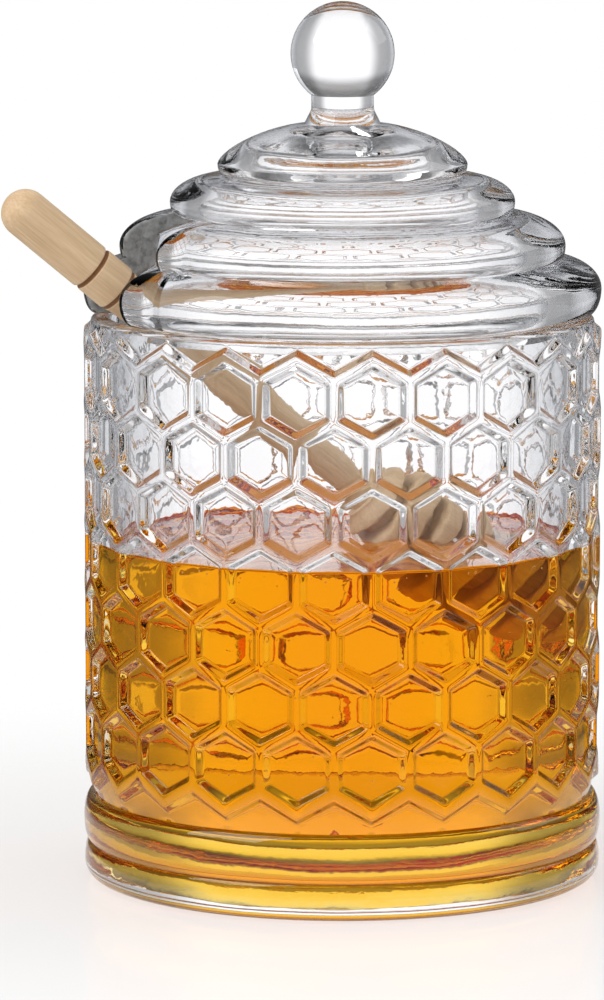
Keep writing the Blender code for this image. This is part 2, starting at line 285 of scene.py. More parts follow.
# %% Sizes of the jar
PLAIN_RADIUS = RIDGE_RADIUS - RELIEF_DEPTH
WAIST = (45.9 * MM, 15.8 * MM)
UPPER_HOOP = (47.8 * MM, 11.3 * MM)
HOOP_GROOVE = (46.7 * MM, 6.9 * MM)
LOWER_HOOP = (47.7 * MM, 3.0 * MM)
FOOT = (45.0 * MM, 0.0)
SHOULDER = (PLAIN_RADIUS, 103.1 * MM)
RIM_OUTER = (44.9 * MM, 103.9 * MM)
RIM_INNER = (43.1 * MM, 103.9 * MM)
MOUTH = (42.4 * MM, 103.2 * MM)
INNER_WALL = (41.6 * MM, 11.0 * MM)
INNER_FLOOR = (35.6 * MM, 5.0 * MM)
LOWER_BORDER_EXTRA = 0.7 * MM
HONEY_LEVEL = 62.1 * MM
CLIMB = 0.8 * MM
CONTACT_HEIGHT = HONEY_LEVEL + CLIMB
WALL_SLOPE = (MOUTH[0] - INNER_WALL[0]) / (MOUTH[1] - INNER_WALL[1])
CONTACT = (INNER_WALL[0] + WALL_SLOPE * (CONTACT_HEIGHT - INNER_WALL[1]), CONTACT_HEIGHT)
print("honey meets the glass at radius", round(CONTACT[0] / MM, 2), "mm")

# %% [markdown]
# A hexagon's outline has six points a side and starts at its lowest corner, so its corners are
# points 0, 6, 12, 18, 24 and 30. The top row's open edge runs over corner 18, and the bottom row's
# under corner 0. The ridge's flank comes next, and then the rings ease, a fifth at a time, into a
# level ring.

# %% The zigzags' borders
def zigzag(upwards):
    """The open edge of the top or bottom row, as angles and heights all the way round."""
    outline = hexagon(0.0)
    edge = outline[24:12:-1] if upwards else np.concatenate((outline[30:], outline[:6]))
    row = ROWS - 1 if upwards else 0
    column = np.arange(COLUMNS)[:, None]
    angle = COLUMN_TURN + (2 * column + row % 2 + edge[:, 0]) * HALF_STEP
    height = LOWEST_ROW + row * ROW_PITCH + edge[:, 1] + 0.0 * column
    return angle.reshape(-1), height.reshape(-1)


def border(upwards, level, wider=0.0):
    """The ridge's outer flank beside a zigzag, then rings that ease from it to a level ring."""
    angle, height = zigzag(upwards)
    sign = 1.0 if upwards else -1.0
    insets = INSETS[:10]
    widen = wider * np.clip(insets / INSETS[1], 0.0, 1.0)
    rise = sign * (insets * RISE_PER_INSET + widen)
    depth = relief(insets)
    depth[0] = 0.0
    flank_height = height + rise[:, None]
    flank_radius = (RIDGE_RADIUS - depth)[:, None] + 0.0 * angle
    share = np.linspace(0.0, 1.0, 6)[1:, None]
    ease_height = flank_height[-1] + (level[1] - flank_height[-1]) * share
    ease_radius = flank_radius[-1] + (level[0] - flank_radius[-1]) * share ** 2
    radius = np.concatenate((flank_radius, ease_radius))
    height = np.concatenate((flank_height, ease_height))
    points = np.stack((radius * np.sin(angle), -radius * np.cos(angle), height), axis=-1)
    return (points.reshape(-1, 3), grid_faces(len(radius), len(angle))), angle


top_border, top_angles = border(True, SHOULDER)
bottom_border, bottom_angles = border(False, WAIST, LOWER_BORDER_EXTRA)
print("points round each zigzag:", len(top_angles))

# %% [markdown]
# The honeycomb is on the outside alone, and the inside is smooth. The inside wall has a ring of
# points just where the honey's edge will lie, so that its finish can change there.

# %% The jar's wall
rim = quarter(RIM_OUTER, SHOULDER, 6)[::-1]
lip = quarter(RIM_INNER, MOUTH, 5)
upper_wall = np.linspace(MOUTH, CONTACT, 7)[1:]
wall = np.concatenate((upper_wall, np.linspace(CONTACT, INNER_WALL, 8)[1:-1]))
corner = quarter(INNER_FLOOR, INNER_WALL, 12)[::-1]
floor = np.linspace(INNER_FLOOR, (0.0, INNER_FLOOR[1]), 7)[1:]
inside = np.concatenate((rim, lip, wall, corner, floor))
hoops = np.concatenate(
    (rib(WAIST, UPPER_HOOP, HOOP_GROOVE, 9), rib(HOOP_GROOVE, LOWER_HOOP, FOOT, 9)[1:])
)
underside = np.linspace(FOOT, (0.0, 0.0), 7)[1:]
outside = np.concatenate((hoops, underside))

jar = make_piece(
    "glass_jar",
    [comb, top_border, turned(inside, top_angles), bottom_border, turned(outside, bottom_angles)],
    ["jar"],
)

# %% [markdown]
# ## The lid
# The lid is a thick glass shell of four rounded steps under a neck and a ball. A notch with
# upright, parallel sides lets the dipper out. The shell is turned as two profiles, one outside and
# one inside. Above the notch both go all the way round. Below, they stop at the notch, and each end
# of the ring is rounded over: near the end the section shrinks towards its own middle line by a
# quarter circle, and then closes on it.

# %% Lid profiles
NOTCH_TOP = 122.9 * MM
LID_TOP = 161.3 * MM
KNOB_RADIUS = 9.5 * MM
NECK_RADIUS = 5.7 * MM
NECK_FOOT = (NECK_RADIUS, 141.6 * MM)
COLLAR = (7.0 * MM, 139.0 * MM)
STEP_WIDEST = np.array(((22.86, 131.7), (31.58, 124.8), (40.84, 116.8), (47.46, 109.0))) * MM
STEP_CREASE = np.array(((21.9, 129.7), (30.6, 122.6), (40.0, 114.3), (45.0, 104.3))) * MM
HOLLOW = np.array(
    ((0.0, 134.4), (9.0, 133.9), (15.6, 131.8), (17.6, 128.0), (25.8, 126.0), (26.3, 122.9),
     (26.6, 120.8), (33.4, 118.6), (34.2, 112.8), (37.8, 110.6), (38.6, 103.0), (39.95, 101.2))
) * MM
SPIGOT = np.array(((41.3, 104.3), (41.3, 101.2), (39.95, 101.2))) * MM

knob_turn = np.linspace(0.0, math.pi - math.asin(NECK_RADIUS / KNOB_RADIUS), 40)
knob = np.column_stack(
    (KNOB_RADIUS * np.sin(knob_turn), LID_TOP - KNOB_RADIUS + KNOB_RADIUS * np.cos(knob_turn))
)
knob[0, 0] = 0.0
neck = wear(np.array((knob[-1], NECK_FOOT, COLLAR)), 12, 1.2 * MM)
top_step = rib(COLLAR, STEP_WIDEST[0], STEP_CREASE[0], 14, 1.5)
second_step = rib(STEP_CREASE[0], STEP_WIDEST[1], STEP_CREASE[1], 12)
outer_above = np.concatenate((knob, neck[1:], top_step[1:], second_step[1:]))
third_step = rib(STEP_CREASE[1], STEP_WIDEST[2], STEP_CREASE[2], 30)
lowest_step = rib(STEP_CREASE[2], STEP_WIDEST[3], STEP_CREASE[3], 30)
outer_below = wear(np.concatenate((third_step, lowest_step[1:], SPIGOT)), 84, 0.6 * MM)
hollow = wear(HOLLOW, 400, 2.0 * MM)
split = int(np.argmin(np.abs(hollow[:, 1] - NOTCH_TOP) + (hollow[:, 0] > 30 * MM)))
inner_above = walk(hollow[: split + 1], 50)
inner_below = walk(hollow[split:], 84)
print("outside profile points:", len(outer_above), "above the notch,", len(outer_below), "below")
print("inside profile points:", len(inner_above), "above the notch,", len(inner_below), "below")

# %% [markdown]
# A column of points on the notched ring has three properties: how far it closes on the middle line,
# how far in from the cut it stands, and how deep it shrinks. The last two follow a quarter circle
# near the cut, which rounds its edge.

# %% Columns of the notched ring
NOTCH_TURN = math.radians(198.0)
NOTCH_HALF = 10.5 * MM
FILLET = 1.8 * MM
ROUND_COLUMNS = 220


def about_notch(radius, angle, height):
    """Points at a radius and an angle counted from the middle of the notch."""
    x = radius * np.cos(angle + NOTCH_TURN)
    y = radius * np.sin(angle + NOTCH_TURN)
    return np.stack((x, y, height + 0.0 * angle), axis=-1)


quarter_turn = np.linspace(0.5 * np.pi, 0.0, 8)
end_close = np.concatenate(((1.0, 0.67, 0.33), 0.0 * quarter_turn))
end_place = np.concatenate((np.zeros(3), FILLET * (1.0 - np.sin(quarter_turn))))
end_shrink = np.concatenate((np.full(3, FILLET), FILLET * (1.0 - np.cos(quarter_turn))))
way = np.linspace(0.0, 1.0, ROUND_COLUMNS)[1:-1]
close = np.concatenate((end_close, 0.0 * way, end_close[::-1]))
place = np.concatenate((end_place, 0.0 * way + FILLET, end_place[::-1]))
shrink = np.concatenate((end_shrink, 0.0 * way, end_shrink[::-1]))
share_round = np.concatenate((0.0 * end_close, way, 0.0 * end_close + 1.0))
print("columns round the notched ring:", len(share_round))


# %% Lid surface
def ring_angle(radius):
    """Angle of each column at a radius: arcsine of its distance from the notch's middle plane over
    the radius at the ends, and an even share of what is left between them."""
    start = np.arcsin((NOTCH_HALF + place) / radius)
    return start + share_round * (2.0 * np.pi - 2.0 * start)


def below_notch(profile, middle):
    """One side of the notched ring. Each column shrinks from the profile towards the middle line by
    its own depth, and the end columns close on it."""
    thickness = np.maximum(np.hypot(*(middle - profile).T), 0.01 * MM)[:, None]
    rounded = np.minimum(shrink / thickness, 0.85)
    towards = rounded + (1.0 - rounded) * close
    from_top = np.arange(len(profile))[:, None] * np.hypot(*(profile[1] - profile[0]))
    ease = np.clip(from_top / (2.0 * MM), 0.0, 1.0)
    ease = ease * ease * (3.0 - 2.0 * ease)
    towards = close + (towards - close) * ease
    radius = profile[:, :1] + (middle - profile)[:, :1] * towards
    height = profile[:, 1:] + (middle - profile)[:, 1:] * towards
    points = about_notch(radius, ring_angle(radius), height)
    return points.reshape(-1, 3), grid_faces(len(profile), len(close), ring=False)


def above_notch(profile, radius_below):
    """One side of the lid above the notch: the ring's columns, and columns across the notch."""
    ring = ring_angle(np.full(len(place), radius_below))[3:-3]
    bridge = 2.0 * np.pi + np.arcsin(across[1:-1] / radius_below)
    angles = np.concatenate((ring, bridge))
    points = about_notch(profile[:, :1], angles, profile[:, 1:])
    return points.reshape(-1, 3), grid_faces(len(profile), len(angles))


across = np.linspace(-NOTCH_HALF, NOTCH_HALF, 15)
middle = 0.5 * (outer_below + inner_below)
closing = np.array((0.0, 0.33, 0.67, 1.0))[:, None]
roof = np.concatenate(
    (outer_below[0] + (middle[0] - outer_below[0]) * closing,
     (inner_below[0] + (middle[0] - inner_below[0]) * closing)[::-1][1:])
)
roof_points = about_notch(roof[:, :1], np.arcsin(across / roof[:, :1]), roof[:, 1:])
lid = make_piece(
    "glass_lid",
    [
        above_notch(outer_above, outer_below[0, 0]),
        above_notch(inner_above, inner_below[0, 0]),
        below_notch(outer_below, middle),
        below_notch(inner_below, middle),
        (roof_points.reshape(-1, 3), grid_faces(len(roof), len(across), ring=False)),
    ],
    ["lid"],
)

# %% [markdown]
# ## The honey
# Honey clings to glass, so its top climbs a little at the wall. Between real honey and glass there
# is nothing, and light hardly bends there. If the honey stopped short of the wall, a film of air
# would show as a mirror. So its skin reaches an eighth of a millimetre into the glass. The dipper
# simply stands in it.

# %% Honey
INTO_WALL = 0.12 * MM
CLIMB_REACH = 0.9 * MM
edge_radius = CONTACT[0] + INTO_WALL
skin_radius = edge_radius * (1.0 - np.linspace(1.0, 0.0, 60) ** 2.2)
skin_height = HONEY_LEVEL + CLIMB * np.exp((skin_radius - edge_radius) / CLIMB_REACH)
skin = np.column_stack((skin_radius, skin_height))
honey_wall = np.linspace(skin[-1], (INNER_WALL[0] + INTO_WALL, INNER_WALL[1]), 14)[1:-1]
honey_corner = quarter(
    (INNER_FLOOR[0], INNER_FLOOR[1] - INTO_WALL), (INNER_WALL[0] + INTO_WALL, INNER_WALL[1]), 12
)[::-1]
honey_floor = np.linspace(honey_corner[-1], (0.0, honey_corner[-1, 1]), 7)[1:]
honey_profile = np.concatenate((skin, honey_wall, honey_corner, honey_floor))
honey_angles = np.linspace(0.0, 2.0 * np.pi, 176, endpoint=False)
honey = make_piece("honey_fill", [turned(honey_profile, honey_angles)], ["honey"])

# %% [markdown]
# ## The dipper
# A dipper is turned from one stick on a lathe: a round end, two grooves to grip, a long taper and a
# head of thin discs that hold honey between them. The profile is worked out along the stick and
# then laid on the line that the stick leans on.

# %% Dipper
DIPPER_TURN = NOTCH_TURN
DIPPER_SLOPE = math.radians(39.8)
DIPPER_END = np.array((63.4 * math.cos(DIPPER_TURN), 63.4 * math.sin(DIPPER_TURN), 127.05)) * MM
DIPPER_LENGTH = 124.9 * MM
HANDLE_RADIUS = 4.42 * MM
SHAFT_RADIUS = 3.9 * MM
SHAFT_LOW_RADIUS = 3.2 * MM
GROOVES = (20.4 * MM, 26.8 * MM)
GROOVE_WIDTH = 0.65 * MM
GROOVE_DEPTH = 0.6 * MM
HEAD_START = 86.9 * MM
HEAD_RADIUS = 10.8 * MM
HEAD_POWER = 2.6
CORE_RADIUS = 5.2 * MM
DISCS = 6
SLOT = 2.4 * MM


def stick_radius(along):
    """Radius of the stick without its head: a taper, less a bell-shaped dip at each groove."""
    taper = np.interp(along, (GROOVES[1], GROOVES[1] + 1.5 * MM, HEAD_START),
                      (HANDLE_RADIUS, SHAFT_RADIUS, SHAFT_LOW_RADIUS))
    dips = sum(np.exp(-(((along - groove) / (0.5 * GROOVE_WIDTH)) ** 2)) for groove in GROOVES)
    return taper - GROOVE_DEPTH * dips


def head_outline(along):
    """Outer radius of the head: a superellipse about its middle."""
    middle_along = 0.5 * (HEAD_START + DIPPER_LENGTH)
    share = np.abs(along - middle_along) / (DIPPER_LENGTH - middle_along)
    return HEAD_RADIUS * (1.0 - np.minimum(share, 1.0) ** HEAD_POWER) ** (1.0 / HEAD_POWER)


def discs():
    """Rims of all the discs: from the core out and back, rounded by a high-power superellipse."""
    width = (DIPPER_LENGTH - HEAD_START - (DISCS - 1) * SLOT) / DISCS
    start = HEAD_START + np.arange(DISCS)[:, None] * (width + SLOT)
    turn = np.linspace(0.0, np.pi, 25)
    sideways = np.sign(np.cos(turn)) * np.abs(np.cos(turn)) ** 0.33
    upwards = np.abs(np.sin(turn)) ** 0.33
    along = start + 0.5 * width * (1.0 - sideways)
    inset = np.clip(along, HEAD_START + 0.12 * width, DIPPER_LENGTH - 0.12 * width)
    base = np.where((along < HEAD_START + 0.2 * width), SHAFT_LOW_RADIUS, CORE_RADIUS)
    top = np.maximum(head_outline(inset), CORE_RADIUS + 0.2 * MM)
    return np.stack((base + (top - base) * upwards, along), axis=-1).reshape(-1, 2)


round_end = quarter((0.0, 0.0), (HANDLE_RADIUS, HANDLE_RADIUS), 14)
stick_along = np.unique(np.concatenate(
    [np.linspace(HANDLE_RADIUS, HEAD_START, 40)]
    + [groove + np.linspace(-1.2, 1.2, 25) * MM for groove in GROOVES]
))[1:-1]
stick = np.column_stack((stick_radius(stick_along), stick_along))
dipper_profile = np.concatenate((round_end, stick, discs()))
dipper_profile = np.concatenate((dipper_profile, ((0.0, DIPPER_LENGTH),)))
local, dipper_faces = turned(
    np.column_stack((dipper_profile[:, 0], -dipper_profile[:, 1])),
    np.linspace(0.0, 2.0 * np.pi, 72, endpoint=False),
)
tilt = 0.5 * math.pi - DIPPER_SLOPE
about_y = np.array(
    ((math.cos(tilt), 0, math.sin(tilt)), (0, 1, 0), (-math.sin(tilt), 0, math.cos(tilt)))
)
about_z = np.array(
    ((math.cos(DIPPER_TURN), -math.sin(DIPPER_TURN), 0),
     (math.sin(DIPPER_TURN), math.cos(DIPPER_TURN), 0), (0, 0, 1))
)
dipper_points = DIPPER_END + local @ (about_z @ about_y).T
dipper = make_piece("wood_dipper", [(dipper_points, dipper_faces)], ["dipper"])

# %% [markdown]
# ## Bubbles
# Stirring leaves small bubbles in honey. Most rest under the skin beside the glass, and a few hang
# lower down. One small ball is worked out once and copied to every place as a single array.

# %% Bubbles
chance = np.random.default_rng(7)
RING_BUBBLES = 90
DEEP_BUBBLES = 110
bubble_angle = chance.uniform(0.0, 2.0 * np.pi, RING_BUBBLES + DEEP_BUBBLES)
bubble_radius = np.concatenate(
    (chance.uniform(38.5, 41.2, RING_BUBBLES), 41.0 * np.sqrt(chance.uniform(0.6, 1, DEEP_BUBBLES)))
) * MM
bubble_height = np.concatenate(
    (chance.uniform(60.6, 61.6, RING_BUBBLES), chance.uniform(24.0, 61.0, DEEP_BUBBLES))
) * MM
bubble_size = chance.uniform(0.09, 0.24, RING_BUBBLES + DEEP_BUBBLES) * MM
centres = np.column_stack(
    (bubble_radius * np.sin(bubble_angle), -bubble_radius * np.cos(bubble_angle), bubble_height)
)
ball_turn = np.linspace(0.0, np.pi, 9)
ball = np.column_stack((np.sin(ball_turn), np.cos(ball_turn)))
ball[[0, -1], 0] = 0.0
ball_points, ball_faces = turned(ball, np.linspace(0.0, 2.0 * np.pi, 12, endpoint=False))
bubble_points = centres[:, None] + bubble_size[:, None, None] * ball_points[None]
ball_starts = len(ball_points) * np.arange(len(centres))
bubble_faces = ball_faces[None] + ball_starts[:, None, None]
bubbles = make_piece(
    "honey_bubbles", [(bubble_points.reshape(-1, 3), bubble_faces.reshape(-1, 4))]
)

# %% [markdown]
# ## Finishes
# Glass and honey share one fault: neither surface is perfectly even. Pressed glass keeps long soft
# waves from the mould, and a honey skin is stirred. One node group makes those waves, and each
# finish sets their size and height. The bending of light stays in each finish's own shader.

# %% Helpers for node trees
def new_finish(name):
    """A material with an empty node tree and an output."""
    material = bpy.data.materials.new(name)
    material.use_nodes = True
    tree = material.node_tree
    tree.nodes.clear()
    output = tree.nodes.new("ShaderNodeOutputMaterial")
    return material, tree, output


def add(tree, kind, **values):
    """Add a node and set its inputs by name, with underscores for spaces."""
    node = tree.nodes.new(kind)
    for key, value in values.items():
        node.inputs[key.replace("_", " ")].default_value = value
    return node


def ramp_between(tree, low, high):
    """A colour ramp between two stops, each given as its position and its colour."""
    ramp = tree.nodes.new("ShaderNodeValToRGB")
    for stop, (position, colour) in zip(ramp.color_ramp.elements, (low, high)):
        stop.position = position
        stop.color = colour
    return ramp


# %% Soft waves
def make_waves():
    """Height of soft waves: a long swell plus a little fine unevenness."""
    group = bpy.data.node_groups.new("soft waves", "ShaderNodeTree")
    for name, kind, way_in in (
        ("Place", "NodeSocketVector", "INPUT"), ("Swell", "NodeSocketFloat", "INPUT"),
        ("Fine", "NodeSocketFloat", "INPUT"), ("Height", "NodeSocketFloat", "OUTPUT"),
    ):
        group.interface.new_socket(name=name, in_out=way_in, socket_type=kind)
    start = group.nodes.new("NodeGroupInput")
    end = group.nodes.new("NodeGroupOutput")
    swell = add(group, "ShaderNodeTexNoise", Scale=60.0, Detail=1.0)
    fine = add(group, "ShaderNodeTexNoise", Scale=400.0, Detail=2.0)
    swell_share = group.nodes.new("ShaderNodeMath")
    swell_share.operation = "MULTIPLY"
    fine_share = group.nodes.new("ShaderNodeMath")
    fine_share.operation = "MULTIPLY_ADD"
    link = group.links.new
    link(start.outputs["Place"], swell.inputs["Vector"])
    link(start.outputs["Place"], fine.inputs["Vector"])
    link(swell.outputs["Fac"], swell_share.inputs[0])
    link(start.outputs["Swell"], swell_share.inputs[1])
    link(fine.outputs["Fac"], fine_share.inputs[0])
    link(start.outputs["Fine"], fine_share.inputs[1])
    link(swell_share.outputs[0], fine_share.inputs[2])
    link(fine_share.outputs[0], end.inputs["Height"])
    return group


waves = make_waves()
print("soft waves are made of", len(waves.nodes), "nodes")


def wavy_normal(tree, shader, swell, fine):
    """Feed a shader's normal from the soft waves, in the object's own coordinates."""
    place_node = tree.nodes.new("ShaderNodeTexCoord")
    wave = tree.nodes.new("ShaderNodeGroup")
    wave.node_tree = waves
    wave.inputs["Swell"].default_value = swell
    wave.inputs["Fine"].default_value = fine
    bump = add(tree, "ShaderNodeBump", Strength=1.0, Distance=0.001)
    tree.links.new(place_node.outputs["Object"], wave.inputs["Place"])
    tree.links.new(wave.outputs["Height"], bump.inputs["Height"])
    tree.links.new(bump.outputs["Normal"], shader.inputs["Normal"])


def let_lamps_through(tree, shader, output, tint):
    """Rays that look for a lamp pass straight through, tinted, so that what is inside is lit."""
    path = tree.nodes.new("ShaderNodeLightPath")
    clear = add(tree, "ShaderNodeBsdfTransparent", Color=(*tint, 1.0))
    mix = tree.nodes.new("ShaderNodeMixShader")
    tree.links.new(path.outputs["Is Shadow Ray"], mix.inputs["Fac"])
    tree.links.new(shader.outputs["BSDF"], mix.inputs[1])
    tree.links.new(clear.outputs["BSDF"], mix.inputs[2])
    tree.links.new(mix.outputs["Shader"], output.inputs["Surface"])


# %% [markdown]
# Clear glass looks darkest where it is seen edge on, because light that leaves there has come a
# long way round inside the wall. Here that darkening is painted shade: the tint of the light that
# passes follows how far the surface turns away, none where it faces the eye and a cool grey at its
# rim.

# %% Clear glass
GLASS_INDEX = 1.5
# Cool grey of the painted shade at the glass's rims
RIM_PAINTED_SHADE = (0.30, 0.32, 0.36, 1.0)
GLASS_SHADOW = (0.85, 0.855, 0.86)


def clear_glass():
    """Colourless glass with the long soft waves of a pressing, and painted shade that greys it
    towards its rims.
    """
    material, tree, output = new_finish("clear pressed glass")
    shader = add(
        tree, "ShaderNodeBsdfPrincipled", Roughness=0.0, IOR=GLASS_INDEX, Transmission_Weight=1.0
    )
    # Painted shade: the glass's colour goes from white where it faces the eye to the cool grey at
    # its rim
    turned_away = add(tree, "ShaderNodeLayerWeight", Blend=0.5)
    tint = ramp_between(tree, (0.18, (1.0, 1.0, 1.0, 1.0)), (0.9, RIM_PAINTED_SHADE))
    tree.links.new(turned_away.outputs["Facing"], tint.inputs["Fac"])
    tree.links.new(tint.outputs["Color"], shader.inputs["Base Color"])
    wavy_normal(tree, shader, 0.35, 0.02)
    let_lamps_through(tree, shader, output, GLASS_SHADOW)
    return material


# %% [markdown]
# Light bends and mirrors only where the index of refraction changes. Glass is 1.5 and honey 1.49,
# so where they touch almost nothing happens. A renderer takes every skin to border on air, so both
# skins there would mirror, and a white veil would lie over the honey. The wetted part of the glass
# and the sides of the honey therefore bend nothing. The honey's free skin does.

# %% Skins that touch
def touching_skin(name, shadow_tint):
    """A boundary between two clear things of equal index: nothing bends and nothing is mirrored."""
    material, tree, output = new_finish(name)
    shader = add(
        tree, "ShaderNodeBsdfPrincipled", Base_Color=(1.0, 1.0, 1.0, 1.0), Roughness=0.0, IOR=1.0,
        Specular_IOR_Level=0.0, Transmission_Weight=1.0,
    )
    let_lamps_through(tree, shader, output, shadow_tint)
    return material, tree, output


def face_values(piece, what):
    """One kind of vector for each face of a piece, as rows of an array."""
    values = np.empty(3 * len(piece.data.polygons))
    piece.data.polygons.foreach_get(what, values)
    return values.reshape(-1, 3)


def two_finishes(piece, first, second, gets_second):
    """Give a piece two materials, the second one on the faces that are marked."""
    piece.data.materials.append(first)
    piece.data.materials.append(second)
    piece.data.polygons.foreach_set("material_index", gets_second.astype(np.int32))
    piece.data.update()
    print(piece.name, "has", int(gets_second.sum()), "faces in", second.name)


# %% [markdown]
# A notch like this is cut with a wheel. The face of it that looks to the front is matt, and the
# other one shows clear. The dark mottled grey of the matt face is painted shade, standing in for
# the shade seen through the thick glass there. Matt glass throws part of the light back, so its
# shader lets only some of it through.

# %% Ground face of the notch, with painted shade
# Greys of the painted shade on the matt face of the notch
MATT_PAINTED_SHADE_DARK = (0.16, 0.165, 0.165, 1.0)
MATT_PAINTED_SHADE_LIGHT = (0.42, 0.43, 0.43, 1.0)
MATT_SHADOW = (0.6, 0.6, 0.6)


def matt_notch_face_with_painted_shade():
    """Matt glass with painted shade in a dark grey that follows a fine noise; its bumps follow the
    same noise, as the wheel left them.
    """
    material, tree, output = new_finish("matt notch face with painted shade")
    link = tree.links.new
    shader = add(
        tree, "ShaderNodeBsdfPrincipled", Roughness=0.4, IOR=GLASS_INDEX, Transmission_Weight=0.35
    )
    where = tree.nodes.new("ShaderNodeTexCoord")
    mottle = add(tree, "ShaderNodeTexNoise", Scale=700.0, Detail=4.0, Roughness=0.65)
    # Painted shade: a dark grey mottled by the noise
    grey = ramp_between(tree, (0.35, MATT_PAINTED_SHADE_DARK), (0.68, MATT_PAINTED_SHADE_LIGHT))
    bump = add(tree, "ShaderNodeBump", Strength=0.6, Distance=0.0003)
    link(where.outputs["Object"], mottle.inputs["Vector"])
    link(mottle.outputs["Fac"], grey.inputs["Fac"])
    link(grey.outputs["Color"], shader.inputs["Base Color"])
    link(mottle.outputs["Fac"], bump.inputs["Height"])
    link(bump.outputs["Normal"], shader.inputs["Normal"])
    let_lamps_through(tree, shader, output, MATT_SHADOW)
    return material


glass = clear_glass()
along_notch = np.array((math.cos(NOTCH_TURN), math.sin(NOTCH_TURN), 0.0))
over_notch = np.array((-math.sin(NOTCH_TURN), math.cos(NOTCH_TURN), 0.0))
lid_centres = face_values(lid, "center")
sideways_place = lid_centres @ over_notch
# The face that gets the matt finish and its painted shade
ground = (face_values(lid, "normal") @ over_notch > 0.6) & (lid_centres @ along_notch > 0.0)
ground &= (sideways_place < 0.0) & (sideways_place > -NOTCH_HALF - FILLET)
ground &= lid_centres[:, 2] < outer_below[0, 1]
two_finishes(lid, glass, matt_notch_face_with_painted_shade(), ground)

# %% [markdown]
# The jar's wetted faces are the inside ones from the floor up to the edge of the honey.

# %% Wetted glass of the jar
jar_centres = face_values(jar, "center")
wetted = np.hypot(jar_centres[:, 0], jar_centres[:, 1]) < MOUTH[0] + 0.5 * MM
wetted &= (jar_centres[:, 2] > 0.5 * INNER_FLOOR[1]) & (jar_centres[:, 2] < CONTACT_HEIGHT)
wetted_glass = touching_skin("glass wetted by honey", (1.0, 1.0, 1.0))[0]
two_finishes(jar, glass, wetted_glass, wetted)

# %% [markdown]
# Honey gets its colour from depth. It swallows blue at once and green slowly, so a thin part is
# yellow, the middle of a jar is amber and a long way through is brown. That is what an absorbing
# volume does, and no painted colour could do it.

# %% Honey finish
HONEY_INDEX = 1.49
HONEY_COLOUR = (0.98, 0.805, 0.0, 1.0)
HONEY_DENSITY = 70.0
HONEY_SHADOW = (0.86, 0.6, 0.3)


def fill_with_honey(tree, output):
    """Give a closed piece an absorbing inside: blue goes first, green after it."""
    volume = add(
        tree, "ShaderNodeVolumeAbsorption", Color=HONEY_COLOUR, Density=HONEY_DENSITY
    )
    tree.links.new(volume.outputs["Volume"], output.inputs["Volume"])


def honey_skin():
    """The free top of the honey, where it meets air."""
    material, tree, output = new_finish("amber honey")
    shader = add(
        tree, "ShaderNodeBsdfPrincipled", Base_Color=(1.0, 1.0, 1.0, 1.0), Roughness=0.0,
        IOR=HONEY_INDEX, Transmission_Weight=1.0,
    )
    wavy_normal(tree, shader, 0.25, 0.0)
    let_lamps_through(tree, shader, output, HONEY_SHADOW)
    fill_with_honey(tree, output)
    return material


def honey_side():
    """The sides and floor of the honey, where it meets glass."""
    material, tree, output = touching_skin("amber honey at the glass", HONEY_SHADOW)
    fill_with_honey(tree, output)
    return material


def bubble_finish():
    """A small clear ball. Air in honey bends light the other way, but at a bubble's size a ball
    that bends it this way sparkles much the same."""
    material, tree, output = new_finish("air bubble")
    shader = add(
        tree, "ShaderNodeBsdfPrincipled", Base_Color=(1.0, 1.0, 1.0, 1.0), Roughness=0.0,
        IOR=GLASS_INDEX, Transmission_Weight=1.0,
    )
    let_lamps_through(tree, shader, output, (1.0, 1.0, 1.0))
    return material


at_glass = face_values(honey, "normal")[:, 2] < 0.5
two_finishes(honey, honey_skin(), honey_side(), at_glass)
bubbles.data.materials.append(bubble_finish())

# %% [markdown]
# The dipper is a pale, close-grained wood. Its fibres run along the stick, so the noise is
# stretched that way in the stick's own directions. In the two grooves the wood is a darker brown.

# %% Wood finish
WOOD_DARK = (0.47, 0.31, 0.165, 1.0)
WOOD_LIGHT = (0.69, 0.50, 0.31, 1.0)
# Darker brown laid into the two grooves
GROOVE_DARKENING = (0.42, 0.27, 0.17, 1.0)
GROOVE_DARKENING_HALF_WIDTH = 0.42 * MM


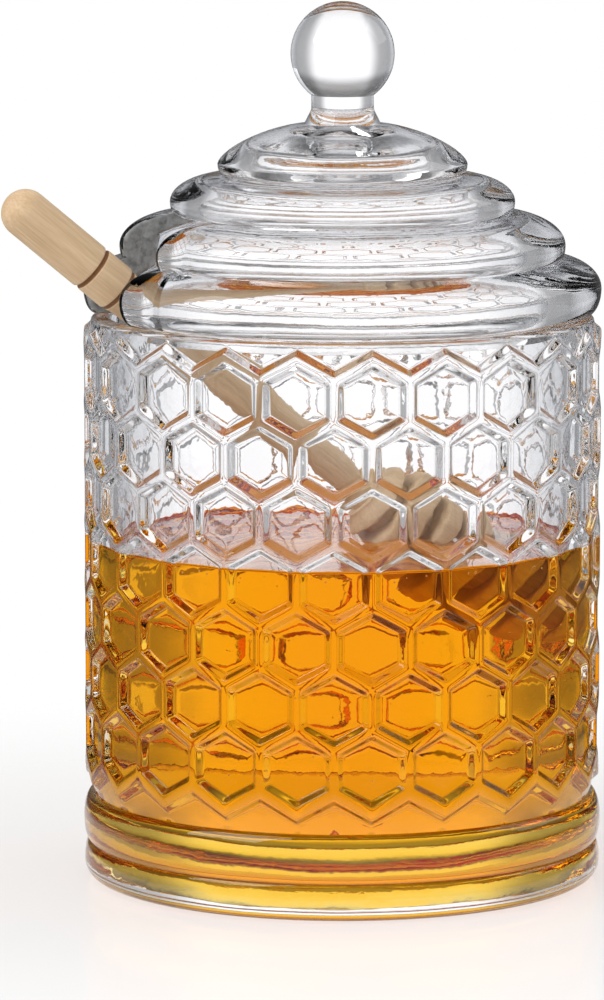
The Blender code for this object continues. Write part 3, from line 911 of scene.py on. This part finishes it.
def pale_wood():
    """Fibres stretched along the stick, soft bands, fine bumps, and brown where a groove is."""
    material, tree, output = new_finish("pale turned wood")
    link = tree.links.new
    shader = add(tree, "ShaderNodeBsdfPrincipled", Roughness=0.55)
    where = tree.nodes.new("ShaderNodeTexCoord")
    lay = tree.nodes.new("ShaderNodeMapping")
    lay.vector_type = "TEXTURE"
    lay.inputs["Location"].default_value = DIPPER_END
    lay.inputs["Rotation"].default_value = (0.0, tilt, DIPPER_TURN)
    link(where.outputs["Object"], lay.inputs["Vector"])
    stretch = tree.nodes.new("ShaderNodeMapping")
    stretch.inputs["Scale"].default_value = (1.0, 1.0, 0.06)
    link(lay.outputs["Vector"], stretch.inputs["Vector"])
    fibres = add(tree, "ShaderNodeTexNoise", Scale=2600.0, Detail=3.0, Roughness=0.6)
    bands = add(tree, "ShaderNodeTexNoise", Scale=420.0, Detail=2.0)
    flecks = add(tree, "ShaderNodeTexNoise", Scale=5200.0, Detail=1.0)
    for noise in (fibres, bands, flecks):
        link(stretch.outputs["Vector"], noise.inputs["Vector"])
    ramp = ramp_between(tree, (0.3, WOOD_DARK), (0.68, WOOD_LIGHT))
    blend = add(tree, "ShaderNodeMix")
    blend.data_type = "FLOAT"
    blend.inputs["Factor"].default_value = 0.5
    link(fibres.outputs["Fac"], blend.inputs["A"])
    link(bands.outputs["Fac"], blend.inputs["B"])
    link(blend.outputs["Result"], ramp.inputs["Fac"])
    split_place = tree.nodes.new("ShaderNodeSeparateXYZ")
    link(lay.outputs["Vector"], split_place.inputs["Vector"])
    # One where the stick is within a groove, nought elsewhere: the wood is darkened there
    in_a_groove = tree.nodes.new("ShaderNodeMath")
    in_a_groove.operation = "MAXIMUM"
    for groove, way_in in zip(GROOVES, in_a_groove.inputs):
        near = tree.nodes.new("ShaderNodeMath")
        near.operation = "COMPARE"
        near.inputs[1].default_value = -groove
        near.inputs[2].default_value = GROOVE_DARKENING_HALF_WIDTH
        link(split_place.outputs["Z"], near.inputs[0])
        link(near.outputs[0], way_in)
    darker = tree.nodes.new("ShaderNodeMix")
    darker.data_type = "RGBA"
    darker.blend_type = "MULTIPLY"
    darker.inputs["B"].default_value = GROOVE_DARKENING
    link(in_a_groove.outputs[0], darker.inputs["Factor"])
    link(ramp.outputs["Color"], darker.inputs["A"])
    link(darker.outputs["Result"], shader.inputs["Base Color"])
    bump = add(tree, "ShaderNodeBump", Strength=0.25, Distance=0.0002)
    link(flecks.outputs["Fac"], bump.inputs["Height"])
    link(bump.outputs["Normal"], shader.inputs["Normal"])
    link(shader.outputs["BSDF"], output.inputs["Surface"])
    return material


dipper.data.materials.append(pale_wood())

# %% [markdown]
# ## Floor, light and surroundings
# The table is a white sheet that is also lit from below, as for product photographs. That is what
# makes the honey glow in the foot, where it would otherwise stand on its own shadow. The sheet
# melts into a white room, so its disc fades out a short way from the pot.

# %% Table
TABLE_RADIUS = 300.0 * MM
TABLE_TOP = -0.2 * MM
FADE_START = 75.0 * MM
FADE_END = 200.0 * MM

table_turns = np.linspace(0.0, 2.0 * np.pi, 96, endpoint=False)
table_profile = np.array(((TABLE_RADIUS, TABLE_TOP), (0.0, TABLE_TOP)))
table_points, table_faces = turned(table_profile, table_turns)
table_points, table_quads, table_triangles = weld(table_points, table_faces)
table_mesh = bpy.data.meshes.new("table")
table_mesh.from_pydata(table_points.tolist(), [], table_quads.tolist() + table_triangles.tolist())
table = bpy.data.objects.new("table", table_mesh)
bpy.context.scene.collection.objects.link(table)


def white_table():
    """Smooth white near the pot, and clear where the distance from its axis passes the fade."""
    material, tree, output = new_finish("white table")
    shader = add(
        tree, "ShaderNodeBsdfPrincipled", Base_Color=(0.4, 0.4, 0.4, 1.0), Roughness=0.18,
        Specular_IOR_Level=0.2, Emission_Color=(1.0, 0.99, 0.98, 1.0), Emission_Strength=0.52,
    )
    clear = add(tree, "ShaderNodeBsdfTransparent")
    where = tree.nodes.new("ShaderNodeTexCoord")
    length = tree.nodes.new("ShaderNodeVectorMath")
    length.operation = "LENGTH"
    fade = tree.nodes.new("ShaderNodeMapRange")
    fade.interpolation_type = "SMOOTHSTEP"
    fade.inputs["From Min"].default_value = FADE_START
    fade.inputs["From Max"].default_value = FADE_END
    mix = tree.nodes.new("ShaderNodeMixShader")
    tree.links.new(where.outputs["Object"], length.inputs[0])
    tree.links.new(length.outputs["Value"], fade.inputs["Value"])
    tree.links.new(fade.outputs["Result"], mix.inputs["Fac"])
    tree.links.new(shader.outputs["BSDF"], mix.inputs[1])
    tree.links.new(clear.outputs["BSDF"], mix.inputs[2])
    tree.links.new(mix.outputs["Shader"], output.inputs["Surface"])
    return material


table_mesh.materials.append(white_table())

# %% [markdown]
# Clear glass has no colour of its own: it shows what stands round it, so an all-white room leaves
# it invisible. A photographer hangs a white card behind the glass and keeps the room in front dark.
# Light that has come through the glass then is bright, and what its skin mirrors is dim. Here the
# room does both: light that passed through sees the cards, and light that was mirrored sees the
# same cards dimmed. Four cards stand round the pot with grey gaps between them. Glass that bends
# light far to the side shows a gap, which draws the dark rims of the knob and the ridges, and keeps
# the honey deep at the jar's sides. Overhead it is grey, with a soft white lamp at the top.

# %% Room
MIRRORED_SHARE = 0.1
CARDS = 4.0
CARD_EDGE = (-0.9, 0.2)
GAP_GREY = 0.42
CARD_HEIGHTS = ((0.0, 1.1), (0.22, 1.1), (0.42, 0.42), (0.6, 0.22), (0.78, 0.28), (0.87, 0.85))

world = bpy.data.worlds.new("studio")
bpy.context.scene.world = world
world.use_nodes = True
sky = world.node_tree
sky.nodes.clear()


def sky_math(operation, first, second=None, clamp=False):
    """A math node fed by sockets or plain numbers."""
    node = sky.nodes.new("ShaderNodeMath")
    node.operation = operation
    node.use_clamp = clamp
    for socket, value in zip(node.inputs, (first, second)):
        if isinstance(value, float):
            socket.default_value = value
        elif value is not None:
            sky.links.new(value, socket)
    return node.outputs[0]


sky_place = sky.nodes.new("ShaderNodeTexCoord")
sky_split = sky.nodes.new("ShaderNodeSeparateXYZ")
sky.links.new(sky_place.outputs["Generated"], sky_split.inputs["Vector"])
card = sky.nodes.new("ShaderNodeValToRGB")
card.color_ramp.interpolation = "EASE"
stops = card.color_ramp.elements
for number, (height, grey) in enumerate(CARD_HEIGHTS):
    # The ramp's own first stop is used, and its own last one, white at the top, stays as it is
    stop = stops.new(height) if number else stops[0]
    stop.color = (grey, grey, 1.02 * grey, 1.0)
sky.links.new(sky_split.outputs["Z"], card.inputs["Fac"])
round_angle = sky_math("ARCTAN2", sky_split.outputs["X"], sky_split.outputs["Y"])
card_or_gap = add(
    sky, "ShaderNodeMapRange", From_Min=CARD_EDGE[0], From_Max=CARD_EDGE[1], To_Min=GAP_GREY,
    To_Max=1.0,
)
card_or_gap.interpolation_type = "SMOOTHSTEP"
sky.links.new(
    sky_math("COSINE", sky_math("MULTIPLY", round_angle, CARDS)), card_or_gap.inputs["Value"]
)
sky_path = sky.nodes.new("ShaderNodeLightPath")
mirrored = sky_math(
    "SUBTRACT", sky_path.outputs["Is Glossy Ray"], sky_path.outputs["Is Transmission Ray"], True
)
dimming = sky_math("SUBTRACT", 1.0, sky_math("MULTIPLY", mirrored, 1.0 - MIRRORED_SHARE))
sky_light = sky.nodes.new("ShaderNodeBackground")
sky.links.new(card.outputs["Color"], sky_light.inputs["Color"])
sky.links.new(
    sky_math("MULTIPLY", card_or_gap.outputs["Result"], dimming), sky_light.inputs["Strength"]
)
sky_seen = add(sky, "ShaderNodeBackground", Color=(1.0, 1.0, 1.0, 1.0), Strength=1.0)
sky_mix = sky.nodes.new("ShaderNodeMixShader")
sky_output = sky.nodes.new("ShaderNodeOutputWorld")
sky.links.new(sky_path.outputs["Is Glossy Ray"], sky_mix.inputs["Fac"])
sky.links.new(sky_seen.outputs["Background"], sky_mix.inputs[1])
sky.links.new(sky_light.outputs["Background"], sky_mix.inputs[2])
sky.links.new(sky_mix.outputs["Shader"], sky_output.inputs["Surface"])
card_stops = [(round(stop.position, 2), round(stop.color[0], 2)) for stop in stops]
print("card stops:", card_stops)

# %% [markdown]
# Two soft lamps shape the wood and put small window lights in the glass. The stronger one stands to
# the left and in front, as a window would.

# %% Lamps
def soft_lamp(name, place_at, size, power):
    """A square lamp that looks at the middle of the pot."""
    data = bpy.data.lights.new(name, "AREA")
    data.size = size
    data.energy = power
    lamp = bpy.data.objects.new(name, data)
    lamp.location = place_at
    towards_pot = np.array((0.0, 0.0, 0.08)) - np.array(place_at)
    flat = math.hypot(towards_pot[0], towards_pot[1])
    lamp.rotation_euler = (math.atan2(flat, -towards_pot[2]), 0.0,
                           math.atan2(-towards_pot[0], towards_pot[1]))
    bpy.context.scene.collection.objects.link(lamp)


soft_lamp("left window", (-0.8, -0.5, 0.9), 0.8, 7.0)
soft_lamp("right window", (1.0, 0.3, 0.8), 0.8, 2.5)

# %% [markdown]
# Light crosses many surfaces in a pot like this: in and out of the near wall, the honey and the far
# wall, and more where it is trapped. So it is followed through more bends than usual.

# %% Render quality that belongs to glass
scene = bpy.context.scene
scene.cycles.max_bounces = 24
scene.cycles.transmission_bounces = 24
scene.cycles.glossy_bounces = 8
scene.cycles.diffuse_bounces = 3
scene.cycles.transparent_max_bounces = 24
scene.view_settings.view_transform = "Standard"
